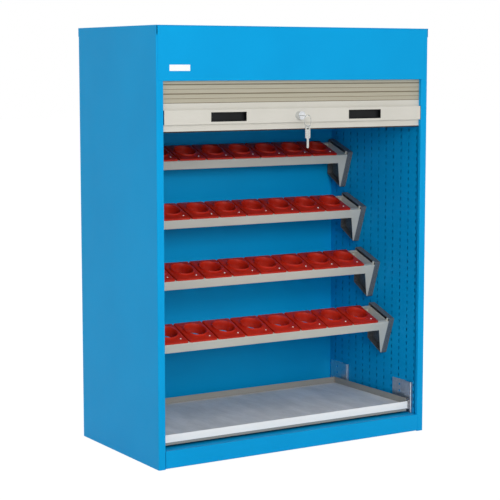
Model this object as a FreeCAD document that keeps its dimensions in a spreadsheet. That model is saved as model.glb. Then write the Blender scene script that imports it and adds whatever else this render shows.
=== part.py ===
"""Roll front tool cabinet: a slatted shutter, four tilted tool shelves and a pull-out tray in a steel case.

Millimetres. +X right, +Y into the cabinet, +Z up. The origin is the middle of the cabinet's underside.
Depths are counted from the front plane, heights from the floor.
"""
import FreeCAD, Part
import math
import os

from FreeCAD import Placement, Rotation, Vector

doc = FreeCAD.newDocument("roll_front_cabinet")
sheet = doc.addObject("Spreadsheet::Sheet", "Sizes")

SIZES = {
    # outside
    "width": 1090.0,
    "depth": 573.0,
    "height": 1450.0,
    "skin": 1.5,                # thickness of every steel sheet
    "fold": 2.5,                # inside radius of a fold
    # shell
    "post_width": 26.0,
    "rear_flange": 15.0,
    "fascia_step": 1.5,         # the fascia stands this far in front of the posts
    "fascia_tall": 178.0,
    "fascia_margin": 4.5,
    "skirt_tall": 30.0,         # turned-down edge of the top cover
    "plinth_tall": 61.0,
    "plinth_ledge": 27.0,
    "back_recess": 9.0,
    "wall_inset": 22.0,         # face of the perforated wall, from the outside
    # slots in the perforated walls
    "slot_wide": 6.0,
    "slot_tall": 13.0,
    "slot_first": 31.2,         # depth of the first column
    "slot_columns": 6,
    "column_step": 90.52,
    "slot_base": 87.75,         # height of the lowest row
    "slot_rows": 12,
    "row_step": 100.2,
    "first_hook_column": 2,     # counted from 0, for the lowest shelf's brackets
    "first_hook_row": 2,
    # shutter
    "curtain_front": 16.0,      # depth of the slats' front face
    "slat_pitch": 30.4,
    "slat_thick": 1.5,
    "slat_bevel": 0.6,
    "slats_each": 8,
    "sections": 5,
    "layer_gap": 0.4,
    "nest_lift": 0.5,           # the nested sections start this far above the rail
    "groove_play": 0.4,
    "guide_reach": 22.5,        # how far the guide's channel goes in behind the post
    "end_play": 12.0,
    "curtain_shown": 72.5,      # curtain in view between the raised rail and the fascia
    "rail_tall": 90.5,
    "rail_thick": 8.5,
    "rail_wall": 2.0,
    "band_base": 22.0,
    "band_tall": 47.0,
    "band_proud": 13.0,
    "cap_thick": 1.5,
    "cap_play": 1.0,
    "seal_drop": 4.0,
    "seal_thick": 5.0,
    # grips and lock
    "grip_wide": 136.0,
    "grip_tall": 31.0,
    "grip_deep": 14.0,
    "grip_wall": 1.5,
    "grip_offset": 274.5,
    "lock_rise": 45.0,          # lock axis above the rail's base
    "lock_radius": 14.0,
    "lock_proud": 20.0,
    "lock_back": 17.5,          # depth of the housing's rear end
    "plug_radius": 9.0,
    "running_play": 0.1,
    "stub_radius": 4.5,
    "cam_reach": 16.5,          # from the lock's axis to each end of the cam
    "cam_wide": 13.0,
    "bar_depth": 18.0,          # front face of the cam and of the lock bars
    "bar_thick": 3.0,
    "bar_tall": 10.0,
    "bar_gap": 2.8,             # between the upright cam and each bar
    "bar_play": 0.4,
    "keeper_wide": 9.0,
    "keeper_tall": 14.0,
    "keeper_play": 0.5,
    "closing_gap": 0.5,         # between the lowered seal and the plinth
    # keys
    "key_thick": 2.2,
    "bow_wide": 20.0,
    "bow_long": 27.5,
    "bow_hole": 5.0,
    "bow_edge": 6.0,            # metal between the hole and the bow's free end
    "blade_wide": 8.5,
    "neck_long": 8.0,
    "spare_bow": 46.0,
    "spare_blade": 32.0,
    "ring_radius": 20.0,
    "ring_wire": 0.8,
    "ring_drop": 17.0,          # ring centre below the key it hangs from
    "ring_back": 9.5,           # key hole behind the ring centre
    "ring_play": 0.4,
    "spare_edge": 6.0,          # metal above the spare key's hole
    # tool shelves
    "shelves": 4,
    "tilt": 20.0,
    "shelf_depth": 150.5,       # lowest shelf's front corner, from the front plane
    "shelf_height": 393.5,
    "shelf_back_step": 90.52,
    "shelf_up_step": 200.4,
    "bracket_long": 138.0,
    "bracket_tall": 145.0,
    "heel_long": 98.0,          # the bracket's lower rear corner, from its front edge
    "heel_drop": 130.0,         # and below its top edge
    "bracket_wide": 23.0,
    "bracket_wall": 3.0,
    "bracket_round": 5.0,
    "brace_radius": 95.0,
    "brace_wide": 15.0,
    "hook_wide": 5.0,
    "hook_tall": 7.0,
    "hook_drop": 6.0,
    "hook_play": 0.4,
    "rail_drop": 11.0,          # shelf rail's top, below the bracket's top edge
    "shelf_rail_tall": 34.0,
    "shelf_sheet": 2.0,
    "frame_long": 130.0,
    "shelf_lip": 13.0,
    "ear_top": 34.0,
    "ear_tip": 4.0,
    "tab_wide": 6.0,
    "tab_thick": 4.0,
    "row_margin": 40.0,         # least room left at each end of a row of seats
    "seat_middle": 69.0,        # seat axis, from the shelf's front
    "insert_pitch": 114.2,
    "insert_wide": 109.0,
    "insert_plate": 6.5,
    "insert_skirt": 22.0,
    "insert_play": 1.0,
    "collar_radius": 42.0,
    "collar_tall": 6.0,
    "seat_radius": 35.0,
    # tray
    "tray_front": 43.3,
    "tray_long": 458.3,
    "tray_gap": 22.0,           # between the tray and the perforated wall
    "tray_base": 69.5,
    "rim_height": 116.7,
    "tray_floor": 92.5,
    "tray_lip": 104.0,
    "liner_thick": 2.5,
    "liner_play": 1.5,
    "strip_thick": 2.0,
    "strip_base": 78.8,
    "strip_top": 104.7,
    "strip_end": 4.0,           # the strip runs this far past the tray
    "slide_base": 75.0,
    "slide_tall": 33.0,
    "slide_sheet": 1.2,
    "slide_wide": 12.0,
    "slide_play": 0.5,
    "bar_slide_wide": 3.6,
    "hanger_base": 62.5,
    "hanger_tall": 112.0,
    "hanger_plate": 82.0,
    "hanger_rib": 37.0,
    "hanger_front": 36.0,
    "hanger_rear": 438.0,
    "hanger_hole": 4.5,
    "hanger_hole_rise": 68.0,
    "hanger_hole_step": 24.0,
    # drum in the top box
    "drum_depth": 120.0,
    "drum_drop": 90.0,          # drum axis below the top
    "drum_radius": 30.0,
    "drum_wall": 2.0,
    "drum_end_gap": 12.0,
    "hub_thick": 15.0,
    "axle_radius": 10.0,
    "cheek_thick": 3.0,
    "cheek_wide": 110.0,
    "cheek_tall": 120.0,
    "spring_radius": 18.0,
    "spring_wire": 5.0,
    "spring_long": 260.0,
    "spring_start": 330.0,
    "collar_long": 20.0,
    "collar_step": 2.0,         # the end collars stand this far over the spring
}

for row, (alias, number) in enumerate(SIZES.items(), start=1):
    sheet.set(f"A{row}", alias)
    sheet.set(f"B{row}", str(number))
    sheet.setAlias(f"B{row}", alias)
doc.recompute()

parts = {}


def size(alias):
    """The number in a cell of the sheet."""
    return float(sheet.get(alias))


def whole(alias):
    return int(round(size(alias)))


def formula(text):
    """A formula in the sheet's aliases, with each alias pointed at the sheet."""
    words, word = [], ""
    for letter in text + " ":
        if letter.isalpha() or letter == "_":
            word += letter
            continue
        words.append("Sizes." + word if word in SIZES else word)
        words.append(letter)
        word = ""
    return "".join(words).strip()


def bind(thing, **formulas):
    for name, text in formulas.items():
        thing.setExpression(name.replace("_", "."), formula(text))


def box(label, low, high):
    """A block between two corners, each given as three formulas."""
    block = doc.addObject("Part::Box", label)
    for name, start, end in zip(("Length", "Width", "Height"), low, high):
        block.setExpression(name, formula(f"({end}) - ({start})"))
    for name, start in zip("xyz", low):
        block.setExpression(f"Placement.Base.{name}", formula(start))
    return block


def rod(label, radius, start, length, axis="x"):
    """A round bar: radius and length are formulas, start is its first end and axis the way that it runs."""
    bar = doc.addObject("Part::Cylinder", label)
    turned = {"x": Rotation(Vector(0, 1, 0), 90), "y": Rotation(Vector(1, 0, 0), -90), "z": Rotation()}
    bar.Placement = Placement(Vector(), turned[axis])
    bind(bar, Radius=radius, Height=length)
    for name, text in zip("xyz", start):
        bar.setExpression(f"Placement.Base.{name}", formula(text))
    return bar


def cut(label, base, tool):
    made = doc.addObject("Part::Cut", label)
    made.Base = base
    made.Tool = tool
    return made


def fuse(label, *pieces):
    made = doc.addObject("Part::MultiFuse", label)
    made.Shapes = list(pieces)
    return made


def gathered(label, *pieces):
    """Separate solids that share one node."""
    made = doc.addObject("Part::Compound", label)
    made.Links = list(pieces)
    return made


def keep(label, thing):
    """Marks a finished sub-part: its label names its file."""
    thing.Label = label
    parts[label] = thing
    return thing


def outline(points):
    """A closed outline of straight edges."""
    corners = [Vector(*p, 0) for p in points]
    return [Part.LineSegment(a, b) for a, b in zip(corners, corners[1:] + corners[:1])]


def rounded(points, radius):
    """A closed outline whose corners are all rounded."""
    return run_of([Vector(*p, 0) for p in points], [radius] * len(points), True)


def run_of(corners, radii, closed):
    """Lines and arcs along a polyline; a corner of radius 0 stays sharp."""
    made, count = [], len(corners)
    ends = []
    for i, corner in enumerate(corners):
        inner = closed or 0 < i < count - 1
        if not inner or not radii[i]:
            ends.append((corner, None, corner))
            continue
        before = (corner - corners[i - 1]).normalize()
        after = (corners[(i + 1) % count] - corner).normalize()
        turn = before.getAngle(after)
        reach = radii[i] * math.tan(turn / 2)
        inward = (after - before).normalize()
        middle = corner + inward * (radii[i] / math.cos(turn / 2) - radii[i])
        ends.append((corner - before * reach, middle, corner + after * reach))
    for i, (start, middle, end) in enumerate(ends):
        if middle is not None:
            made.append(Part.Arc(start, middle, end))
        if closed or i < count - 1:
            made.append(Part.LineSegment(end, ends[(i + 1) % count][0]))
    return made


def inset(points, wall):
    """The corners of an outline that runs anticlockwise, moved in by a wall's thickness."""
    line = [Vector(*p, 0) for p in points]
    moved = []
    for i, corner in enumerate(line):
        before = (corner - line[i - 1]).normalize()
        after = (line[(i + 1) % len(line)] - corner).normalize()
        left_before, left_after = Vector(-before.y, before.x, 0), Vector(-after.y, after.x, 0)
        shifted = corner + (left_before + left_after) * (wall / (1 + left_before.dot(left_after)))
        moved.append((shifted.x, shifted.y))
    return moved


def folded(points, thick, bend):
    """The outline of a sheet folded at each inner point of its middle line; bend is the inside radius."""
    line = [Vector(*p, 0) for p in points]
    ways = [(b - a).normalize() for a, b in zip(line, line[1:])]
    sides, rounds = ([], []), ([], [])
    for i, point in enumerate(line):
        before, after = ways[max(i - 1, 0)], ways[min(i, len(ways) - 1)]
        left_before, left_after = Vector(-before.y, before.x, 0), Vector(-after.y, after.x, 0)
        mitre = (left_before + left_after) * (1 / (1 + left_before.dot(left_after)))
        turn = before.cross(after).z
        for side, sign in enumerate((1, -1)):
            sides[side].append(point + mitre * (sign * thick / 2))
            rounds[side].append(0 if not turn else bend if turn * sign > 0 else bend + thick)
    return run_of(
        sides[0] + sides[1][::-1],
        rounds[0] + rounds[1][::-1],
        True,
    )


def body(label, plane, edges, length):
    """A body with one padded sketch on one of its own origin planes."""
    made = doc.addObject("PartDesign::Body", label)
    sketch = sketched(made, label + "_outline", plane, edges)
    pad = made.newObject("PartDesign::Pad", label + "_pad")
    pad.Profile = sketch
    pad.setExpression("Length", formula(length))
    sketch.Visibility = False
    made.Tip = pad
    return made


def sketched(made, name, plane, edges):
    sketch = made.newObject("Sketcher::SketchObject", name)
    support = next(f for f in made.Origin.OriginFeatures if f.Role == plane)
    sketch.AttachmentSupport = [(support, "")]
    sketch.MapMode = "FlatFace"
    sketch.addGeometry(edges, False)
    return sketch


def pocket(made, name, plane, edges):
    """Cuts a sketch through everything in the body, both ways."""
    hole = made.newObject("PartDesign::Pocket", name)
    hole.Profile = sketched(made, name + "_outline", plane, edges)
    hole.Type = "ThroughAll"
    hole.Midplane = True
    made.Tip = hole
    return hole


def at(thing, **formulas):
    """Places a sub-part by formulas for x, y and z."""
    for name, text in formulas.items():
        thing.setExpression(f"Placement.Base.{name}", formula(text))
    return thing


FRONT = "(-depth / 2)"
CURTAIN = f"({FRONT} + curtain_front)"
WALL = "(width / 2 - wall_inset)"
POST = "(width / 2 - post_width)"
BAND = f"({CURTAIN} - band_proud)"
RAIL = "(height - fascia_tall - curtain_shown - rail_tall)"
LOCK_Z = f"({RAIL} + lock_rise)"
TRAY = f"({WALL} - tray_gap)"
STRIP = f"({TRAY} + strip_end)"
DRUM_Z = "(height - drum_drop)"

front = -size("depth") / 2
half = size("width") / 2
skin = size("skin")
wall_face = half - size("wall_inset")
post_inner = half - size("post_width")
post_face = front + size("fascia_step")
tray_side = wall_face - size("tray_gap")
curtain = front + size("curtain_front")
layer = size("slat_thick") + size("layer_gap")
groove_front = curtain - size("groove_play")
groove_back = curtain + size("sections") * layer + size("groove_play")


# the shell

def side_panel(side, name):
    """The outer side with its rear flange, and the front post as a channel welded flush to its edge."""
    middle = half - skin / 2
    rear = size("depth") / 2 - skin / 2
    seam = groove_front - skin
    sheet_points = [(side * (half - size("rear_flange")), rear), (side * middle, rear), (side * middle, seam)]
    post_points = [
        (side * middle, seam),
        (side * middle, post_face + skin / 2),
        (side * (post_inner + skin / 2), post_face + skin / 2),
        (side * (post_inner + skin / 2), seam),
    ]
    pieces = [
        body(f"{name}_{kind}", "XY_Plane", folded(points, skin, size("fold")), "height - skirt_tall")
        for kind, points in (("sheet", sheet_points), ("post", post_points))
    ]
    return keep(name, gathered(name, *pieces))


def back_panel():
    """A shallow pan set in between the sides' rear flanges."""
    rim = size("depth") / 2 - skin
    face = size("depth") / 2 - size("back_recess") + skin / 2
    edge = half - size("fold") - 3 * skin / 2
    points = [(-edge, rim), (-edge, face), (edge, face), (edge, rim)]
    made = body("back_panel", "XY_Plane", folded(points, skin, size("fold")), "height - skirt_tall - skin")
    return keep("back_panel", at(made, z="skin"))


def top_cover():
    """Top sheet over the fascia, with turned-down sides and back."""
    outer = box(
        "cover_outer",
        ("-width / 2", f"{FRONT} + fascia_step", "height - skirt_tall"),
        ("width / 2", "depth / 2", "height"),
    )
    inner = box(
        "cover_inner",
        ("-width / 2 + skin", FRONT, "height - skirt_tall - skin"),
        ("width / 2 - skin", "depth / 2 - skin", "height - skin"),
    )
    lip = box(
        "cover_lip",
        ("-width / 2", FRONT, "height - skin"),
        ("width / 2", f"{FRONT} + fascia_step", "height"),
    )
    return keep("top_cover", fuse("cover", cut("cover_shell", outer, inner), lip))


def fascia():
    """Front of the drum box, folded back under its lower edge, between the posts, and under the top cover."""
    low = size("height") - size("fascia_tall") + skin / 2
    high = size("height") - 3 * skin / 2
    face = front + skin / 2
    points = [
        (groove_front - size("groove_play"), low),
        (face, low),
        (face, high),
        (face + size("plinth_ledge"), high),
    ]
    sheet_bent = body("fascia_sheet", "YZ_Plane", folded(points, skin, skin / 2), "width - 2 * fascia_margin")
    at(sheet_bent, x="-width / 2 + fascia_margin")
    notches = [
        box(
            f"fascia_notch_{name}",
            (start, f"{FRONT} + fascia_step", "height - fascia_tall - skin"),
            (f"{start} + post_width", CURTAIN, "height - fascia_tall + plinth_ledge"),
        )
        for name, start in (("left", "-width / 2"), ("right", POST))
    ]
    return keep("front_fascia", cut("fascia", sheet_bent, fuse("fascia_notches", *notches)))


def plinth():
    """Front of the base: its foot lies on the base pan and the floor butts against its ledge."""
    face = post_face + skin / 2
    top = size("plinth_tall") - skin / 2
    foot = skin + skin / 2
    ledge = face + size("plinth_ledge")
    points = [(ledge, foot), (face, foot), (face, top), (ledge, top)]
    made = body("plinth", "YZ_Plane", folded(points, skin, size("fold")), "width - 2 * post_width")
    return keep("plinth", at(made, x="-width / 2 + post_width"))


def base_and_floor():
    base = box(
        "base_block",
        ("-width / 2 + skin", f"{CURTAIN} - groove_play - skin", "0"),
        ("width / 2 - skin", "depth / 2 - skin - fold", "skin"),
    )
    keep("base_pan", base)
    floor = box(
        "floor_block",
        (f"-{WALL} - skin", f"{FRONT} + fascia_step + skin / 2 + plinth_ledge", "plinth_tall - skin"),
        (f"{WALL} + skin", "depth / 2 - back_recess", "plinth_tall"),
    )
    keep("floor_panel", floor)


def perforated_wall(side, name):
    """Inner side wall with the slots that the shelf brackets hook into."""
    start = groove_back + skin
    end = size("depth") / 2 - size("back_recess")
    low, high = size("plinth_tall"), size("height") - size("skirt_tall")
    made = body(name, "YZ_Plane", outline([(start, low), (end, low), (end, high), (start, high)]), "skin")
    column = []
    y = front + size("slot_first")
    for i in range(whole("slot_rows")):
        z = size("slot_base") + i * size("row_step")
        dy, dz = size("slot_wide") / 2, size("slot_tall") / 2
        column += outline([(y - dy, z - dz), (y + dy, z - dz), (y + dy, z + dz), (y - dy, z + dz)])
    hole = pocket(made, name + "_slots", "YZ_Plane", column)
    row = made.newObject("PartDesign::LinearPattern", name + "_columns")
    row.Originals = [hole]
    row.Direction = (hole.Profile[0], ["H_Axis"])
    row.setExpression("Length", formula("column_step * (slot_columns - 1)"))
    row.Occurrences = whole("slot_columns")
    made.Tip = row
    at(made, x=WALL if side > 0 else f"-{WALL} - skin")
    return keep(name, made)


# the shutter

def guide(side, name):
    """Channel behind the post that the slats run in: two runner strips on a web."""
    front_face = f"({CURTAIN} - groove_play)"
    back_face = f"({CURTAIN} + sections * (slat_thick + layer_gap) + groove_play)"
    outer = f"({POST} + guide_reach)"
    strips = []
    for kind, inner, low, high in (
        ("front", POST, f"{front_face} - skin", front_face),
        ("web", f"({outer} - skin)", front_face, back_face),
        ("rear", WALL, back_face, f"{back_face} + skin"),
    ):
        start, end = (inner, outer) if side > 0 else (f"-{outer}", f"-{inner}")
        strips.append(box(
            f"{name}_{kind}", (start, low, "plinth_tall"), (end, high, "height - skirt_tall"),
        ))
    return keep(name, gathered(name, *strips))


def slat_shape():
    """One slat, bevelled where it meets the next."""
    t, bevel, tall = size("slat_thick"), size("slat_bevel"), size("slat_pitch")
    reach = post_inner + size("guide_reach") - size("end_play")
    points = [(t, 0), (bevel, 0), (0, bevel), (0, tall - bevel), (bevel, tall), (t, tall)]
    face = Part.Face(Part.makePolygon([Vector(-reach, y, z) for y, z in points + points[:1]]))
    return face.extrude(Vector(2 * reach, 0, 0))


def curtain_section(number):
    """Eight slats; the sections nest one behind the other where the real curtain is rolled up."""
    slat = slat_shape()
    made = doc.addObject("Part::Feature", f"curtain_{number}")
    made.Shape = Part.Compound([
        slat.translated(Vector(0, 0, i * size("slat_pitch"))) for i in range(whole("slats_each"))
    ])
    lift = f"{int(number > 1)} * nest_lift"
    at(made, y=f"{CURTAIN} + {number - 1} * (slat_thick + layer_gap)", z=f"{RAIL} + rail_tall + {lift}")
    return keep(f"curtain_{number}", made)


def bottom_rail():
    """Hollow extrusion with a raised band, cut open for the grips and the lock."""
    low, high = size("band_base"), size("band_base") + size("band_tall")
    tall, thick, wall = size("rail_tall"), size("rail_thick"), size("rail_wall")
    proud = -size("band_proud")
    section = outline([
        (thick, 0), (0, 0), (0, low), (proud, low), (proud, high), (0, high), (0, tall), (thick, tall),
    ])
    hollow = outline([
        (thick - wall, low + wall), (proud + wall, low + wall),
        (proud + wall, high - wall), (thick - wall, high - wall),
    ])
    length = "width - 2 * (post_width + cap_thick + cap_play)"
    made = body("rail_extrusion", "YZ_Plane", section + hollow, length)
    at(made, x=f"-{POST} + cap_thick + cap_play", y=CURTAIN, z=RAIL)
    openings = [
        box(
            f"grip_opening_{name}",
            (f"{centre} - grip_wide / 2", f"{BAND} - skin", f"{LOCK_Z} - grip_tall / 2"),
            (f"{centre} + grip_wide / 2", f"{BAND} + grip_deep", f"{LOCK_Z} + grip_tall / 2"),
        )
        for name, centre in (("left", "-grip_offset"), ("right", "grip_offset"))
    ]
    lock_way = rod("lock_way", "lock_radius", ("0", f"{BAND} - skin", LOCK_Z), "rail_wall + 2 * skin", "y")
    cleared = cut("rail_cleared", made, fuse("rail_openings", *openings, lock_way))
    tongues = [
        box(
            f"rail_tongue_{name}",
            (start, CURTAIN, RAIL),
            (end, f"{CURTAIN} + rail_thick", f"{RAIL} + rail_tall"),
        )
        for name, start, end in (
            ("left", f"-{POST} - guide_reach + end_play", f"-{POST} + cap_thick + cap_play"),
            ("right", f"{POST} - cap_thick - cap_play", f"{POST} + guide_reach - end_play"),
        )
    ]
    bar_way = box(
        "bar_way",
        (f"-{POST} - guide_reach", f"{FRONT} + bar_depth - bar_play", f"{LOCK_Z} - bar_tall / 2 - bar_play"),
        (f"{POST} + guide_reach", f"{FRONT} + bar_depth + bar_thick + bar_play",
         f"{LOCK_Z} + bar_tall / 2 + bar_play"),
    )
    keep("shutter_rail", cut("rail", fuse("rail_solid", cleared, *tongues), bar_way))
    caps = [
        box(
            f"cap_{name}",
            (start, BAND, f"{RAIL} + band_base"),
            (f"{start} + cap_thick", CURTAIN, f"{RAIL} + band_base + band_tall"),
        )
        for name, start in (("left", f"-{POST} + cap_play"), ("right", f"{POST} - cap_play - cap_thick"))
    ]
    keep("rail_caps", gathered("caps", *caps))
    keep("bottom_seal", box(
        "seal",
        (f"-{POST} + cap_play", CURTAIN, f"{RAIL} - seal_drop"),
        (f"{POST} - cap_play", f"{CURTAIN} + seal_thick", RAIL),
    ))


def grip(side, name):
    """Finger cup set into the band."""
    centre = f"{side} * grip_offset"
    shell = box(
        f"{name}_shell",
        (f"{centre} - grip_wide / 2", BAND, f"{LOCK_Z} - grip_tall / 2"),
        (f"{centre} + grip_wide / 2", f"{BAND} + grip_deep", f"{LOCK_Z} + grip_tall / 2"),
    )
    hollow = box(
        f"{name}_hollow",
        (f"{centre} - grip_wide / 2 + grip_wall", f"{BAND} - skin", f"{LOCK_Z} - grip_tall / 2 + grip_wall"),
        (f"{centre} + grip_wide / 2 - grip_wall", f"{BAND} + grip_deep - grip_wall",
         f"{LOCK_Z} + grip_tall / 2 - grip_wall"),
    )
    return cut(f"{name}_cup", shell, hollow)


# lock and keys

def lock():
    """Housing, plug and the two-armed cam on the plug's rear end."""
    start = ("0", f"{BAND} - lock_proud", LOCK_Z)
    long = f"{FRONT} + lock_back - ({BAND} - lock_proud)"
    barrel = rod("lock_barrel", "lock_radius", start, long, "y")
    mouth = ("0", f"{BAND} - lock_proud - skin", LOCK_Z)
    bore = rod("lock_bore", "plug_radius + running_play", mouth, f"{long} + 2 * skin", "y")
    keep("lock_housing", cut("lock_tube", barrel, bore))
    bar = rod("plug_bar", "plug_radius", start, long, "y")
    rear = ("0", f"{FRONT} + lock_back", LOCK_Z)
    stub = rod("plug_stub", "stub_radius", rear, "bar_depth + bar_thick - lock_back", "y")
    keyway = box(
        "keyway",
        ("-blade_wide / 2", f"{BAND} - lock_proud - skin", f"{LOCK_Z} - key_thick / 2"),
        ("blade_wide / 2", f"{BAND} + rail_thick", f"{LOCK_Z} + key_thick / 2"),
    )
    keep("lock_plug", cut("plug", fuse("plug_turned", bar, stub), keyway))
    arm, reach = size("cam_wide") / 2, size("cam_reach")
    edges = run_of(
        [Vector(*c, 0) for c in ((-arm, -reach), (arm, -reach), (arm, reach), (-arm, reach))],
        [arm - size("bar_play")] * 4, True,
    )
    cam = body("cam_sheet", "XZ_Plane", edges, "bar_thick")
    at(cam, y=f"{FRONT} + bar_depth + bar_thick", z=LOCK_Z)
    seat = rod("cam_seat", "stub_radius", rear, "bar_thick * 2", "y")
    keep("lock_cam", cut("cam", cam, seat))


def lock_bars():
    """Flat bars in the rail that the cam pushes out through its ends, and the keepers in the guides."""
    keepers = []
    for side, name in ((-1, "left"), (1, "right")):
        inner, outer = "(cam_wide / 2 + bar_gap)", f"({POST} + guide_reach - end_play)"
        low, high = (f"-{outer}", f"-{inner}") if side < 0 else (inner, outer)
        keep(f"lock_bar_{name}", box(
            f"bar_{name}",
            (low, f"{FRONT} + bar_depth", f"{LOCK_Z} - bar_tall / 2"),
            (high, f"{FRONT} + bar_depth + bar_thick", f"{LOCK_Z} + bar_tall / 2"),
        ))
        wall = f"({POST} + guide_reach - skin)"
        start = f"-{wall}" if side < 0 else f"{wall} - keeper_wide"
        foot = "plinth_tall + closing_gap + seal_drop + lock_rise + bar_tall / 2 + keeper_play"
        keepers.append(box(
            f"keeper_{name}",
            (start, f"{CURTAIN} - groove_play + skin / 2", foot),
            (f"{start} + keeper_wide",
             f"{CURTAIN} + sections * (slat_thick + layer_gap) + groove_play - skin / 2",
             f"{foot} + keeper_tall"),
        ))
    keep("lock_keepers", gathered("keepers", *keepers))


def key_outline(bow_long, blade_long):
    """Flat key along -Y, from the bow's free end: an oval bow and a narrower blade."""
    bow, blade = size("bow_wide") / 2, size("blade_wide") / 2
    round_bow = bow - blade / 4
    corners = [
        (-bow, 0), (bow, 0), (bow, bow_long), (blade, bow_long),
        (blade, bow_long + blade_long), (-blade, bow_long + blade_long), (-blade, bow_long), (-bow, bow_long),
    ]
    radii = [round_bow, round_bow, round_bow / 2, 0, blade / 2, blade / 2, 0, round_bow / 2]
    return run_of([Vector(*c, 0) for c in corners], radii, True)


def keys():
    """The key in the lock, lying flat, and the spare that hangs from its ring."""
    hole, hole_at = size("bow_hole"), size("bow_hole") + size("bow_edge")
    edges = key_outline(size("bow_long"), size("neck_long") + size("lock_proud"))
    edges.append(Part.Circle(Vector(0, hole_at, 0), Vector(0, 0, 1), hole))
    bow_end = f"{BAND} - lock_proud - neck_long - bow_long"
    key = body("key", "XY_Plane", edges, "key_thick")
    keep("key", at(key, y=bow_end, z=f"{LOCK_Z} - key_thick / 2"))
    ring_y = f"{bow_end} + bow_hole + bow_edge - ring_back"
    ring_middle = ("-ring_wire", ring_y, f"{LOCK_Z} - ring_drop")
    ring = rod("ring_outer", "ring_radius + ring_wire", ring_middle, "2 * ring_wire")
    eye_middle = ("-2 * ring_wire", *ring_middle[1:])
    eye = rod("ring_inner", "ring_radius - ring_wire", eye_middle, "4 * ring_wire")
    keep("key_ring", cut("ring", ring, eye))
    hole_at = hole + size("spare_edge")
    edges = [flipped(edge) for edge in key_outline(size("spare_bow"), size("spare_blade"))]
    edges.append(Part.Circle(Vector(0, -hole_at, 0), Vector(0, 0, 1), hole))
    spare = body("spare_key", "XZ_Plane", edges, "key_thick")
    top = f"{LOCK_Z} - ring_drop - ring_radius + ring_wire + ring_play + spare_edge"
    keep("spare_key", at(spare, y=f"{ring_y} + key_thick / 2", z=top))


def flipped(edge):
    """An edge of a sketch turned upside down."""
    turned = edge.copy()
    turned.mirror(Vector(0, 0, 0), Vector(1, 0, 0))
    return turned


# the tool shelves

def shelf_place(number):
    """Front corner of a shelf's brackets; shelf 1 is the highest."""
    steps = whole("shelves") - number
    return Placement(
        Vector(
            0,
            front + size("shelf_depth") + steps * size("shelf_back_step"),
            size("shelf_height") + steps * size("shelf_up_step"),
        ),
        Rotation(Vector(1, 0, 0), size("tilt")),
    )


def bracket(number, side, name):
    """Pressed bracket: a web against the wall, a flange all round, a curved brace and two hooks."""
    long, tall, wide, wall = (size("bracket_" + n) for n in ("long", "tall", "wide", "wall"))
    corners = [(0, 0), (0, -tall), (size("heel_long"), -size("heel_drop")), (long, 0)]
    made = body(name, "YZ_Plane", rounded(corners, size("bracket_round")), "bracket_wide")
    inner = rounded(inset(corners, wall), size("bracket_round") - wall / 2)
    hollow = doc.addObject("PartDesign::Body", name + "_hollow")
    sketch = sketched(hollow, name + "_hollow_outline", "YZ_Plane", inner)
    pad = hollow.newObject("PartDesign::Pad", name + "_hollow_pad")
    pad.Profile = sketch
    bind(pad, Length="bracket_wide - bracket_wall + skin")
    hollow.Tip = pad
    brace = doc.addObject("PartDesign::Body", name + "_brace")
    centre = Vector(long - wall / 2, -wall / 2, 0)
    reach = size("brace_radius")
    arcs = [
        Part.ArcOfCircle(Part.Circle(centre, Vector(0, 0, 1), r), math.pi, 1.5 * math.pi)
        for r in (reach, reach - wall)
    ]
    ends = [
        Part.LineSegment(centre + Vector(-reach, 0, 0), centre + Vector(wall - reach, 0, 0)),
        Part.LineSegment(centre + Vector(0, -reach, 0), centre + Vector(0, wall - reach, 0)),
    ]
    sketch = sketched(brace, name + "_brace_outline", "YZ_Plane", arcs + ends)
    rib = brace.newObject("PartDesign::Pad", name + "_brace_pad")
    rib.Profile = sketch
    bind(rib, Length="brace_wide")
    brace.Tip = rib
    place = shelf_place(number)
    inner_face = wall_face - wide
    for thing, x in (
        (made, inner_face if side > 0 else -wall_face),
        (hollow, inner_face - skin if side > 0 else -wall_face + wall),
        (brace, wall_face - size("brace_wide") if side > 0 else -wall_face),
    ):
        thing.Placement = Placement(Vector(x, 0, 0) + place.Base, place.Rotation)
    inside = doc.addObject("Part::Common", name + "_brace_inside")
    inside.Base = made
    inside.Tool = brace
    plain = fuse(name + "_braced", cut(name + "_shell", made, hollow), inside)
    return keep(name, fuse(name, plain, *hooks(number, side, name)))


def hooks(number, side, name):
    """Two tongues through slots of the wall, turned down behind it."""
    steps = whole("shelves") - number
    y = front + size("slot_first") + size("first_hook_column") * size("column_step")
    y += steps * size("shelf_back_step")
    play = size("hook_play")
    made = []
    for i in range(2):
        z = size("slot_base") + (size("first_hook_row") + i) * size("row_step")
        z += steps * size("shelf_up_step")
        tongue = Part.makeBox(
            skin + play + skin, size("hook_wide"), size("hook_tall"),
            Vector(0, y - size("hook_wide") / 2, z - size("hook_tall") / 2),
        )
        lip = Part.makeBox(
            skin, size("hook_wide"), size("hook_drop") + size("hook_tall"),
            Vector(skin + play, y - size("hook_wide") / 2, z - size("hook_tall") / 2 - size("hook_drop")),
        )
        hook = tongue.fuse(lip).removeSplitter()
        if side < 0:
            hook = hook.mirror(Vector(), Vector(1, 0, 0))
        thing = doc.addObject("Part::Feature", f"{name}_hook_{i + 1}")
        thing.Shape = hook
        thing.Placement = Placement(Vector(side * wall_face, 0, 0), Rotation())
        made.append(thing)
    return made


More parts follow.
